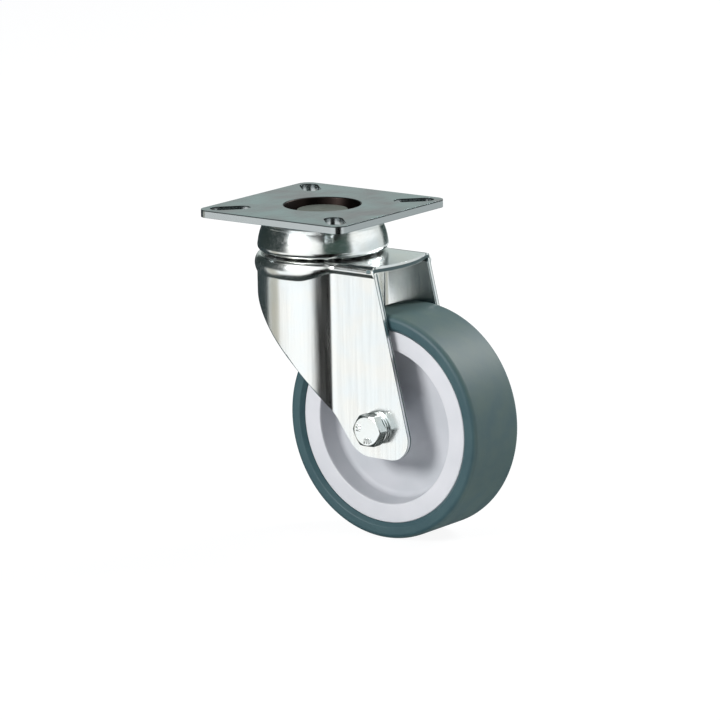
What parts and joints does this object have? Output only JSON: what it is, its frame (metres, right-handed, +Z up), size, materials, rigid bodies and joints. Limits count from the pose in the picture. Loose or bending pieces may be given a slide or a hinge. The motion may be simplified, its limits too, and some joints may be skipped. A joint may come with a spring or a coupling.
{
  "type": "swivel castor",
  "caption": "Swivel castor with a square slotted top plate, a double ball race, a pressed steel fork and a grey rubber-tyred wheel on a bolted axle.",
  "frame": {"origin": "centre of the plate's top face, on the swivel axis", "axes": "+Z up out of the plate's top face along the swivel axis, +X the way the wheel trails, Y along the wheel's axle"},
  "size_m": [0.099, 0.059, 0.106],
  "materials": {
    "zinc_sheet": "bright zinc plate",
    "zinc_bolt": "bright zinc plate",
    "rivet_steel": "dull zinc plate",
    "ball_steel": "polished",
    "wheel_plastic": "satin light grey",
    "bush_plastic": "natural nylon",
    "tyre_rubber": "satin blue-grey"
  },
  "bodies": {
    "plate": {"top_plate": "zinc_sheet", "king_pin": "rivet_steel", "upper_race": "zinc_sheet", "lower_race": "zinc_sheet"},
    "fork": {"fork": "zinc_sheet", "axle_bolt": "zinc_bolt", "bolt_washer": "zinc_bolt", "axle_tube": "zinc_bolt", "nut_washer": "zinc_bolt", "lock_nut": "zinc_bolt", "nut_insert": "bush_plastic"},
    "wheel": {"wheel_centre": "wheel_plastic", "tyre": "tyre_rubber", "hub_bushes": "bush_plastic"},
    "upper_ring": {"upper_balls": "ball_steel"},
    "lower_ring": {"lower_balls": "ball_steel"}
  },
  "joints": [
    {"name": "swivel", "type": "hinge", "parent": "plate", "child": "fork", "pos_m": [0, 0, -0.015], "axis": [0, 0, 1], "continuous": true},
    {"name": "wheel_spin", "type": "hinge", "parent": "fork", "child": "wheel", "pos_m": [0.032, 0, -0.0685], "axis": [0, 1, 0], "continuous": true},
    {"name": "upper_ring_turn", "type": "hinge", "parent": "plate", "child": "upper_ring", "pos_m": [0, 0, -0.0106], "axis": [0, 0, 1], "continuous": true},
    {"name": "lower_ring_turn", "type": "hinge", "parent": "plate", "child": "lower_ring", "pos_m": [0, 0, -0.0159], "axis": [0, 0, 1], "continuous": true}
  ],
  "couplings": [
    {"joint": "upper_ring_turn", "follows": "swivel", "ratio": 0.5},
    {"joint": "lower_ring_turn", "follows": "swivel", "ratio": 0.5}
  ]
}
